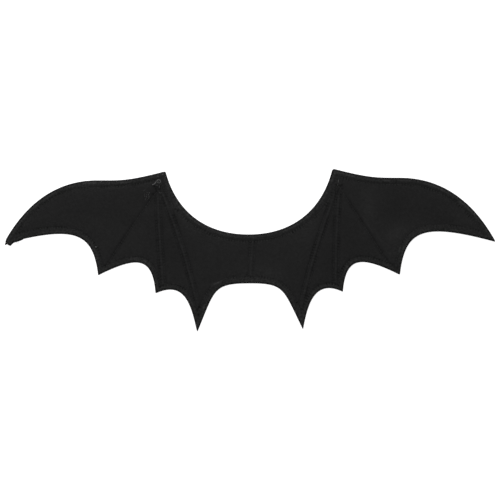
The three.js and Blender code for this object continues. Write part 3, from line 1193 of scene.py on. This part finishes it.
def stitch_paths(lines, stitch, heights, lift, start=0.0):
    """The bowed path of every stitch along the lines, from needle hole to needle hole."""
    places = np.array([0.06, 0.2, 0.5, 0.8, 0.94])
    rise = np.array([-0.9, 0.15, 1, 0.15, -0.9])
    flat = []
    for line in lines:
        holes = spaced(line, stitch, start * stitch)
        for a, b in zip(holes[:-1], holes[1:]):
            flat.append(a + places[:, None] * (b - a))
    flat = np.array(flat)
    z = heights(flat.reshape(-1, 2)).reshape(len(flat), -1) + lift * rise
    return np.concatenate([flat, z[..., None]], axis=2)


def new_material(name):
    """An empty material with its shader and output."""
    material = bpy.data.materials.new(name)
    material.use_nodes = True
    nodes = material.node_tree.nodes
    return material, nodes, material.node_tree.links, nodes["Principled BSDF"]


def noise_node(nodes, links, vector, scale, detail, roughness=0.6, distortion=0.0):
    """A noise texture over object coordinates."""
    node = nodes.new("ShaderNodeTexNoise")
    node.inputs["Scale"].default_value = scale
    node.inputs["Detail"].default_value = detail
    node.inputs["Roughness"].default_value = roughness
    node.inputs["Distortion"].default_value = distortion
    links.new(vector, node.inputs["Vector"])
    return node


def remapped(nodes, links, value, low, high, to_low, to_high):
    """A value moved from one range to another."""
    node = nodes.new("ShaderNodeMapRange")
    node.inputs["From Min"].default_value = low
    node.inputs["From Max"].default_value = high
    node.inputs["To Min"].default_value = to_low
    node.inputs["To Max"].default_value = to_high
    links.new(value, node.inputs["Value"])
    return node.outputs["Result"]


def joined(nodes, links, operation, a, b):
    """Two values put together."""
    node = nodes.new("ShaderNodeMath")
    node.operation = operation
    for socket, value in zip(node.inputs, (a, b)):
        if isinstance(value, (int, float)):
            socket.default_value = value
        else:
            links.new(value, socket)
    return node.outputs[0]


def felt_material(colour):
    """Matt black wool felt: matted fibres, mottled tone, and the tone attribute's painted
    highlights and painted shade.
    """
    name = "black_felt"
    if name in bpy.data.materials:
        return bpy.data.materials[name]
    material, nodes, links, shader = new_material(name)
    place = nodes.new("ShaderNodeTexCoord").outputs["Object"]
    streaks = None
    for number, angle in enumerate((0.35, 1.45, 2.5)):
        turned = nodes.new("ShaderNodeMapping")
        turned.inputs["Rotation"].default_value = (0, 0, angle)
        turned.inputs["Scale"].default_value = (0.16, 1, 1)
        turned.inputs["Location"].default_value = (number * 0.37, 0, 0)
        links.new(place, turned.inputs["Vector"])
        fibre = noise_node(nodes, links, turned.outputs["Vector"], 2600, 3, 0.6, 0.4)
        value = remapped(nodes, links, fibre.outputs["Fac"], 0.42, 0.68, 0, 1)
        streaks = value if streaks is None else joined(nodes, links, "MAXIMUM", streaks, value)
    mottle = noise_node(nodes, links, place, 420, 4, 0.65).outputs["Fac"]
    patches = noise_node(nodes, links, place, 32, 3, 0.5).outputs["Fac"]
    tone = nodes.new("ShaderNodeAttribute")
    tone.attribute_name = "tone"
    light = remapped(nodes, links, streaks, 0, 1, 0.84, 1.16)
    mottled = remapped(nodes, links, mottle, 0.3, 0.7, 0.85, 1.15)
    cloudy = remapped(nodes, links, patches, 0.3, 0.7, 0.96, 1.04)
    # The tone attribute brings painted highlights on the rolled rim, the ridges and listed spots,
    # and painted shade in grooves and needle holes, beside the matted fibres' own random tone.
    worn = remapped(nodes, links, tone.outputs["Fac"], -4, 8, 0.2, 2.6)
    for factor in (mottled, cloudy, worn):
        light = joined(nodes, links, "MULTIPLY", light, factor)
    fuzz = nodes.new("ShaderNodeAttribute")
    fuzz.attribute_name = "fuzz"
    flecks = noise_node(nodes, links, place, 700, 2).outputs["Fac"]
    flecks = remapped(nodes, links, flecks, 0.3, 0.7, -0.8, 0.8)
    flecks = joined(nodes, links, "MULTIPLY", flecks, fuzz.outputs["Fac"])
    light = joined(nodes, links, "MULTIPLY", light, joined(nodes, links, "ADD", flecks, 1))
    tint = nodes.new("ShaderNodeMix")
    tint.data_type = "RGBA"
    tint.blend_type = "MULTIPLY"
    tint.inputs["Factor"].default_value = 1
    tint.inputs["A"].default_value = (*colour, 1)
    grey = nodes.new("ShaderNodeCombineColor")
    for channel in ("Red", "Green", "Blue"):
        links.new(light, grey.inputs[channel])
    links.new(grey.outputs["Color"], tint.inputs["B"])
    links.new(tint.outputs["Result"], shader.inputs["Base Color"])
    height = joined(nodes, links, "ADD", joined(nodes, links, "MULTIPLY", streaks, 0.6), mottle)
    bump = nodes.new("ShaderNodeBump")
    bump.inputs["Strength"].default_value = 0.55
    bump.inputs["Distance"].default_value = 0.00022
    links.new(height, bump.inputs["Height"])
    links.new(bump.outputs["Normal"], shader.inputs["Normal"])
    shader.inputs["Roughness"].default_value = 0.95
    shader.inputs["Specular IOR Level"].default_value = 0.12
    shader.inputs["Sheen Weight"].default_value = 0.012
    shader.inputs["Sheen Roughness"].default_value = 0.45
    return material


def thread_material(name, colour, roughness):
    """Spun thread with fine uneven fibres."""
    if name in bpy.data.materials:
        return bpy.data.materials[name]
    material, nodes, links, shader = new_material(name)
    place = nodes.new("ShaderNodeTexCoord").outputs["Object"]
    fibre = noise_node(nodes, links, place, 5200, 3).outputs["Fac"]
    ramp = nodes.new("ShaderNodeValToRGB")
    ramp.color_ramp.elements[0].position = 0.3
    ramp.color_ramp.elements[0].color = (*(0.75 * c for c in colour), 1)
    ramp.color_ramp.elements[1].position = 0.7
    ramp.color_ramp.elements[1].color = (*(min(1, 1.25 * c) for c in colour), 1)
    links.new(fibre, ramp.inputs["Fac"])
    links.new(ramp.outputs["Color"], shader.inputs["Base Color"])
    bump = nodes.new("ShaderNodeBump")
    bump.inputs["Strength"].default_value = 0.4
    bump.inputs["Distance"].default_value = 0.00008
    links.new(fibre, bump.inputs["Height"])
    links.new(bump.outputs["Normal"], shader.inputs["Normal"])
    shader.inputs["Roughness"].default_value = roughness
    shader.inputs["Specular IOR Level"].default_value = 0.3
    return material


def loose_path(layout, cloth, places, radius, rise):
    """A path that lies on the front, through flat places in millimetres, and rises at its end."""
    line = spaced(softened(MM * np.array(places, dtype=float), 2), 0.35 * MM)
    top = front_surface(layout, cloth, line).top
    share = np.linspace(0, 1, len(line))
    return np.column_stack([line, top + radius + rise * share**2])


class BATWINGS_OT_front_panel(bpy.types.Operator):
    """Add the front felt layer with its rolled band, channels and soft field"""

    bl_idname = "batwings.front_panel"
    bl_label = "Front Panel"

    def execute(self, context):
        cloth = context.scene.batwings_cloth
        layout = lay_out(context.scene)
        rim = len(layout.outline)
        offsets = [0.12 * MM, 0.38 * MM, 0.8 * MM, 1.4 * MM]
        top_points = cover_points(layout, 0.8 * MM, 0.7 * MM, offsets)
        under_points = cover_points(layout, 3 * MM, 2.4 * MM, [1.5 * MM])
        top = front_surface(layout, cloth, top_points)
        under = front_surface(layout, cloth, under_points)
        material = felt_material(cloth.felt_colour)
        panel = felt_shell("front_felt", top_points, top, under_points, under, rim, material)
        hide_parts("front_panel")
        return {"FINISHED"}


class BATWINGS_OT_back_panel(bpy.types.Operator):
    """Add the back felt layer that lies on the table"""

    bl_idname = "batwings.back_panel"
    bl_label = "Back Panel"

    def execute(self, context):
        cloth = context.scene.batwings_cloth
        layout = lay_out(context.scene)
        rim = len(layout.outline)
        top_points = cover_points(layout, 4 * MM, 4 * MM, [1.5 * MM])
        under_points = cover_points(layout, 1.5 * MM, 1.1 * MM, [0.15 * MM, 0.5 * MM, 1.1 * MM])
        top = back_surface(layout, cloth, top_points)
        under = back_surface(layout, cloth, under_points)
        material = felt_material(cloth.felt_colour)
        panel = felt_shell("back_felt", top_points, top, under_points, under, rim, material)
        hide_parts("back_panel")
        return {"FINISHED"}


class BATWINGS_OT_fastener_patches(bpy.types.Operator):
    """Add the two hook tape patches under the shoulders"""

    bl_idname = "batwings.fastener_patches"
    bl_label = "Fastener Patches"

    def execute(self, context):
        cloth = context.scene.batwings_cloth
        material = thread_material("hook_tape", cloth.tape_colour, 0.7)
        for side in SIGN:
            node = f"fastener_patch_{side}"
            low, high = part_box(node)
            vertices, faces = self.base(low, high)
            hook_vertices, hook_faces = self.hooks(low, high)
            faces += [[len(vertices) + corner for corner in face] for face in hook_faces]
            vertices = list(vertices) + list(hook_vertices)
            patch = make_object(f"patch_tape_{side}", vertices, faces, material)
            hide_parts(node)
        return {"FINISHED"}

    def base(self, low, high):
        """The woven backing, a square with rounded corners and a bound edge."""
        corner = 1.6 * MM
        middle = (np.array(low) + np.array(high)) / 2
        half = (high[0] - low[0]) / 2
        profile = ((0.94, 0.62), (0.99, 0.68), (1, 0.8), (0.99, 0.95), (0.96, 1))
        turn = np.linspace(0, 2 * math.pi, 48, endpoint=False) + math.pi / 96
        way = np.column_stack([np.cos(turn), np.sin(turn)])
        square = np.sign(way) * (half - corner) + corner * way
        vertices, faces = [], []
        for reach, height in profile:
            z = low[2] + height * (high[2] - low[2])
            for x, y in square * reach:
                vertices.append((middle[0] + x, middle[1] + y, z))
        count = len(square)
        for ring in range(len(profile) - 1):
            for k in range(count):
                after = (k + 1) % count
                a, b = ring * count, (ring + 1) * count
                faces.append([a + k, a + after, b + after, b + k])
        faces.append(list(reversed(range(count))))
        top = (len(profile) - 1) * count
        faces.append([top + k for k in range(count)])
        return vertices, faces

    def hooks(self, low, high):
        """Small bent hooks that hang from the backing."""
        depth = high[2] - low[2]
        start = low[2] + 0.66 * depth
        drop = 0.62 * depth
        paths = []
        rows, inset, pitch = 13, 2 * MM, 1.33 * MM
        shape = ((0, 0), (0, 0.55), (0.08, 0.85), (0.25, 1), (0.42, 0.82), (0.44, 0.6))
        for i in range(rows):
            for j in range(rows):
                x = low[0] + inset + i * pitch
                y = low[1] + inset + j * pitch
                way = 1 if (i + j) % 2 else -1
                paths.append([(x + way * a * MM, y, start - b * drop) for a, b in shape])
        return tubes(paths, [0.08 * MM] * len(paths), 4)


class BATWINGS_OT_stitches(bpy.types.Operator):
    """Add the stitch rows of the edge, the ribs and the centre, on the front and on the back"""

    bl_idname = "batwings.stitches"
    bl_label = "Stitches"

    def execute(self, context):
        cloth = context.scene.batwings_cloth
        thread = context.scene.batwings_thread
        layout = lay_out(context.scene)
        material = thread_material("sewing_thread", thread.colour, 0.55)

        def front(points):
            return front_surface(layout, cloth, points).top

        def back(points):
            return back_surface(layout, cloth, points).under

        rows = (
            ("edge_topstitch", layout.topstitch, front, 0.55, 0.0),
            ("rib_stitch_rows", layout.rows, front, -0.1, 0.0),
            ("back_stitch_rows", layout.topstitch + layout.rows, back, -0.5, 0.5),
        )
        for name, lines, heights, lift, start in rows:
            paths = stitch_paths(lines, thread.stitch, heights, lift * thread.radius, start)
            radius = thread.radius * np.array([0.7, 0.95, 1, 0.95, 0.7])
            vertices, faces = tubes(paths, [radius] * len(paths), 6)
            make_object(name, vertices, faces, material)
        return {"FINISHED"}


class BATWINGS_OT_loose_threads(bpy.types.Operator):
    """Add the thread ends at the shoulders, the loop under the left tip and the lint"""

    bl_idname = "batwings.loose_threads"
    bl_label = "Loose Threads"

    def execute(self, context):
        cloth = context.scene.batwings_cloth
        thread = context.scene.batwings_thread
        layout = lay_out(context.scene)
        # Pale grey loose thread: a painted highlight on the black thread ends, and the lint's own
        # colour on the lint specks.
        loose = thread_material("loose_thread", thread.loose_colour, 0.6)
        dark = thread_material("sewing_thread", thread.colour, 0.55)
        radius = 1.1 * thread.radius

        paths, radii = [], []
        for number, (ends, places) in enumerate(TUFT):
            path = loose_path(layout, cloth, places, radius, 0.35 * MM)
            lumps = [noise.noise((0.45 * k, 2.7 * number, 0.5)) for k in range(len(path))]
            paths.append(path)
            radii.append(radius * np.linspace(*ends, len(path)) * (1 + 0.7 * np.array(lumps)))
        vertices, faces = tubes(paths, radii, 7)
        make_object("left_shoulder_tuft", vertices, faces, loose)

        paths = [loose_path(layout, cloth, tick, radius, 0.3 * MM) for tick in TICKS]
        vertices, faces = tubes(paths, [radius] * len(paths), 6)
        make_object("right_shoulder_tick", vertices, faces, loose)

        paths = [loose_path(layout, cloth, curl, radius, 0) for curl in FAINT_CURL]
        vertices, faces = tubes(paths, [0.3 * radius] * len(paths), 6)
        make_object("left_wing_thread_curl", vertices, faces, loose)

        start, end = layout.tip + MM * np.array([[12.6, 2.5], [14.9, 2.2]])
        low = layout.tip + MM * np.array([13.4, -0.2])
        line = bent_line(start, low + (low - (start + end) / 2) * 0.9, end, 0.3 * MM)
        height = 1.5 * MM - 0.4 * MM * np.sin(np.linspace(0, math.pi, len(line)))
        path = np.column_stack([line, height])
        vertices, faces = tubes([path], [0.6 * thread.radius], 6)
        make_object("tip_thread_loop", vertices, faces, dark)

        rng = random.Random(5)
        paths = []
        for x, y, size, count in LINT:
            for _ in range(count):
                way, bend = rng.uniform(0, 2 * math.pi), rng.uniform(-0.8, 0.8)
                reach = size * rng.uniform(0.6, 1.2)
                places = [
                    (
                        x + reach * k * math.cos(way + bend * k),
                        y + reach * k * math.sin(way + bend * k),
                    )
                    for k in (-1, -0.4, 0.3, 1)
                ]
                paths.append(loose_path(layout, cloth, places, 0.1 * MM, 0.15 * MM))
        vertices, faces = tubes(paths, [0.1 * MM] * len(paths), 4)
        make_object("lint", vertices, faces, loose)
        return {"FINISHED"}


class BATWINGS_OT_fibres(bpy.types.Operator):
    """Add the fine fibres that stand off the felt"""

    bl_idname = "batwings.fibres"
    bl_label = "Felt Fibres"

    def execute(self, context):
        cloth = context.scene.batwings_cloth
        thread = context.scene.batwings_thread
        layout = lay_out(context.scene)
        material = thread_material("felt_fibre", tuple(1.4 * c for c in cloth.felt_colour), 0.8)
        rng = np.random.default_rng(11)
        loop = layout.outline
        out = offset_line(np.vstack([loop, loop, loop]), -MM)[len(loop) : 2 * len(loop)] - loop
        chosen = rng.integers(0, len(loop), thread.edge_fibres)
        roots = loop[chosen] + out[chosen] * -0.25
        ways = np.arctan2(out[chosen, 1], out[chosen, 0]) + rng.normal(0, 0.8, len(chosen))
        low, high = loop.min(axis=0), loop.max(axis=0)
        field = rng.uniform(low, high, (4 * thread.field_fibres, 2))
        field = field[inside(field, loop)][: thread.field_fibres]
        roots = np.vstack([roots, field])
        ways = np.concatenate([ways, rng.uniform(0, 2 * math.pi, len(field))])
        lengths = thread.fibre_length * rng.uniform(0.4, 1.2, len(roots))
        bends = rng.normal(0, 0.9, len(roots))
        top = front_surface(layout, cloth, roots).top
        paths = []
        for number, (root, way, length, bend) in enumerate(zip(roots, ways, lengths, bends)):
            at_edge = number < len(chosen)
            length *= 0.55 if at_edge else 1
            rise = 0 if at_edge else 0.22 * MM
            path = [(*root, top[number] - 0.05 * MM)]
            for share in (0.5, 1):
                turned = way + bend * share
                x = root[0] + length * share * math.cos(turned)
                y = root[1] + length * share * math.sin(turned)
                path.append((x, y, top[number] + rise * math.sin(2.2 * share)))
            paths.append(path)
        radius = 0.022 * MM * np.array([1, 0.85, 0.3])
        vertices, faces = tubes(paths, [radius] * len(paths), 3)
        make_object("felt_fibres", vertices, faces, material)
        return {"FINISHED"}


class BATWINGS_OT_declare_cloth(bpy.types.Operator):
    """Lay out the pattern's lines and leave them unused"""

    bl_idname = "batwings.declare_cloth"
    bl_label = "Declare Cloth"

    def execute(self, context):
        layout = lay_out(context.scene)
        return {"FINISHED"}


class BATWINGS_OT_stage(bpy.types.Operator):
    """Add the table, the soft lights and the camera straight above"""

    bl_idname = "batwings.stage"
    bl_label = "Stage"

    def execute(self, context):
        scene = context.scene
        stage = scene.batwings_stage
        self.table(stage)
        self.lights(scene, stage)
        self.camera(scene, stage)
        scene.view_settings.view_transform = "Standard"
        scene.view_settings.look = "None"
        return {"FINISHED"}

    def table(self, stage):
        """A plain pale table, lit a little from inside."""
        material, nodes, links, shader = new_material("pale_table")
        place = nodes.new("ShaderNodeTexCoord").outputs["Object"]
        grain = noise_node(nodes, links, place, 900, 2).outputs["Fac"]
        bump = nodes.new("ShaderNodeBump")
        bump.inputs["Strength"].default_value = 0.05
        bump.inputs["Distance"].default_value = 0.0002
        links.new(grain, bump.inputs["Height"])
        links.new(bump.outputs["Normal"], shader.inputs["Normal"])
        shader.inputs["Base Color"].default_value = (*stage.table_colour, 1)
        shader.inputs["Roughness"].default_value = 0.8
        shader.inputs["Emission Color"].default_value = (1, 1, 1, 1)
        shader.inputs["Emission Strength"].default_value = stage.table_glow
        mesh = bpy.data.meshes.new("table")
        half_side = 4
        corners = [(x * half_side, y * half_side) for x, y in ((-1, -1), (1, -1), (1, 1), (-1, 1))]
        mesh.from_pydata([(x, y, -CLEARANCE) for x, y in corners], [], [(0, 1, 2, 3)])
        mesh.materials.append(material)
        table = bpy.data.objects.new("table", mesh)
        bpy.context.scene.collection.objects.link(table)

    def lights(self, scene, stage):
        """Even room light, a large soft lamp beyond the neck and a small one over the left wing."""
        world = bpy.data.worlds.new("room_light")
        world.use_nodes = True
        background = world.node_tree.nodes["Background"]
        background.inputs["Color"].default_value = (1, 1, 1, 1)
        background.inputs["Strength"].default_value = stage.room_light
        scene.world = world
        lamps = (
            ("key_light", stage.key_light, (1.1, 0.6), (0.1, 1.3, 0.75)),
            ("side_light", stage.side_light, (0.4, 0.4), (-0.2, 0.1, 0.6)),
        )
        for name, power, size, place in lamps:
            light = bpy.data.lights.new(name, "AREA")
            light.shape = "RECTANGLE"
            light.size, light.size_y = size
            light.energy = power
            lamp = bpy.data.objects.new(name, light)
            lamp.location = place
            lamp.visible_camera = False
            lamp.rotation_mode = "QUATERNION"
            lamp.rotation_quaternion = (-Vector(place)).to_track_quat("-Z", "Y")
            scene.collection.objects.link(lamp)

    def camera(self, scene, stage):
        """A long lens straight above, with the neck at the top of the picture."""
        lens = bpy.data.cameras.new("camera")
        lens.sensor_width = 36
        lens.lens = lens.sensor_width * stage.camera_height / stage.picture_width
        lens.clip_start = 0.01
        lens.clip_end = 20
        camera = bpy.data.objects.new("camera", lens)
        camera.location = (stage.right_shift, -stage.down_shift, stage.camera_height + 3 * MM)
        scene.collection.objects.link(camera)
        scene.camera = camera


PIECES = (
    "back_panel",
    "front_panel",
    "fastener_patches",
    "stitches",
    "loose_threads",
    "fibres",
    "declare_cloth",
    "stage",
)


class BATWINGS_PT_sidebar(bpy.types.Panel):
    """Sizes, colours and pieces of the bat wings"""

    bl_idname = "BATWINGS_PT_sidebar"
    bl_label = "Bat Wings"
    bl_space_type = "VIEW_3D"
    bl_region_type = "UI"
    bl_category = "Bat Wings"

    def draw(self, context):
        for name, group in GROUPS.items():
            box = self.layout.box()
            for size in group.__annotations__:
                box.prop(getattr(context.scene, name), size)
        for piece in PIECES:
            self.layout.operator(f"batwings.{piece}")


CLASSES = (
    *GROUPS.values(),
    BATWINGS_OT_back_panel,
    BATWINGS_OT_front_panel,
    BATWINGS_OT_fastener_patches,
    BATWINGS_OT_stitches,
    BATWINGS_OT_loose_threads,
    BATWINGS_OT_fibres,
    BATWINGS_OT_declare_cloth,
    BATWINGS_OT_stage,
    BATWINGS_PT_sidebar,
)


def register():
    """Register the classes and hang the groups on the scene."""
    for cls in CLASSES:
        bpy.utils.register_class(cls)
    for name, group in GROUPS.items():
        setattr(bpy.types.Scene, name, bpy.props.PointerProperty(type=group))


def unregister():
    """Take the groups off the scene and unregister the classes."""
    for name in GROUPS:
        delattr(bpy.types.Scene, name)
    for cls in reversed(CLASSES):
        bpy.utils.unregister_class(cls)


def main():
    """Build every piece in order."""
    register()
    for piece in PIECES:
        getattr(bpy.ops.batwings, piece)()


if __name__ == "__main__":
    main()
